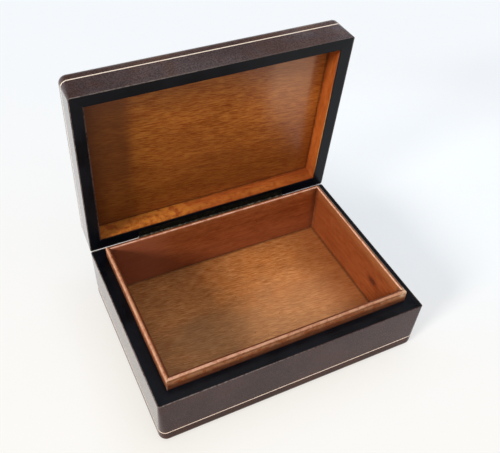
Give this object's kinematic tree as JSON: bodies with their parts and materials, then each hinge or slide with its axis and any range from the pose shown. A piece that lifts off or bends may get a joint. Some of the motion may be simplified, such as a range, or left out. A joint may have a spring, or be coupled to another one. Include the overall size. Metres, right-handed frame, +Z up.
{
  "type": "stationery box",
  "caption": "Leather-covered wooden stationery box with a fitted cedar tray standing proud of its black rim and a deep lid on a long back hinge.",
  "frame": {"origin": "middle of the base, on the surface that the box stands on", "axes": "+X along the box's length to the right, -Y out of its front, +Z up; the hinge runs along X behind the back"},
  "size_m": [0.25, 0.2139, 0.2394],
  "materials": {
    "leather": "satin, fine grain, dark brown",
    "gold_line": "worn gold tooling",
    "black_rim_wood": "black satin paint",
    "carcass_board": "plain softwood board",
    "tray_cedar": "waxed reddish cedar",
    "floor_veneer": "waxed veneered board",
    "lid_liner_wood": "waxed orange-brown",
    "lid_panel_veneer": "waxed veneered board",
    "felt": "short nap",
    "hinge_brass": "tarnished",
    "hinge_screws": "tarnished, slotted"
  },
  "bodies": {
    "base": {"base_bottom_board": "carcass_board", "base_front_wall": "black_rim_wood", "base_back_wall": "black_rim_wood", "base_left_wall": "black_rim_wood", "base_right_wall": "black_rim_wood", "base_leather": "leather", "base_gold_line": "gold_line", "base_felt": "felt", "tray_front_wall": "tray_cedar", "tray_back_wall": "tray_cedar", "tray_left_wall": "tray_cedar", "tray_right_wall": "tray_cedar", "tray_floor_panel": "floor_veneer", "hinge_base_leaf": "hinge_brass", "hinge_pin": "hinge_brass", "hinge_base_screws": "hinge_screws"},
    "lid": {"lid_top_board": "carcass_board", "lid_front_rail": "black_rim_wood", "lid_back_rail": "black_rim_wood", "lid_left_rail": "black_rim_wood", "lid_right_rail": "black_rim_wood", "lid_leather": "leather", "lid_gold_line": "gold_line", "lid_front_liner": "lid_liner_wood", "lid_back_liner": "lid_liner_wood", "lid_left_liner": "lid_liner_wood", "lid_right_liner": "lid_liner_wood", "lid_lining_panel": "lid_panel_veneer", "hinge_lid_leaf": "hinge_brass", "hinge_lid_screws": "hinge_screws"}
  },
  "joints": [
    {"name": "lid_hinge", "type": "hinge", "parent": "base", "child": "lid", "pos_m": [0, 0.0911, 0.05545], "axis": [-1, 0, 0], "range_deg": [-84, 0]}
  ]
}
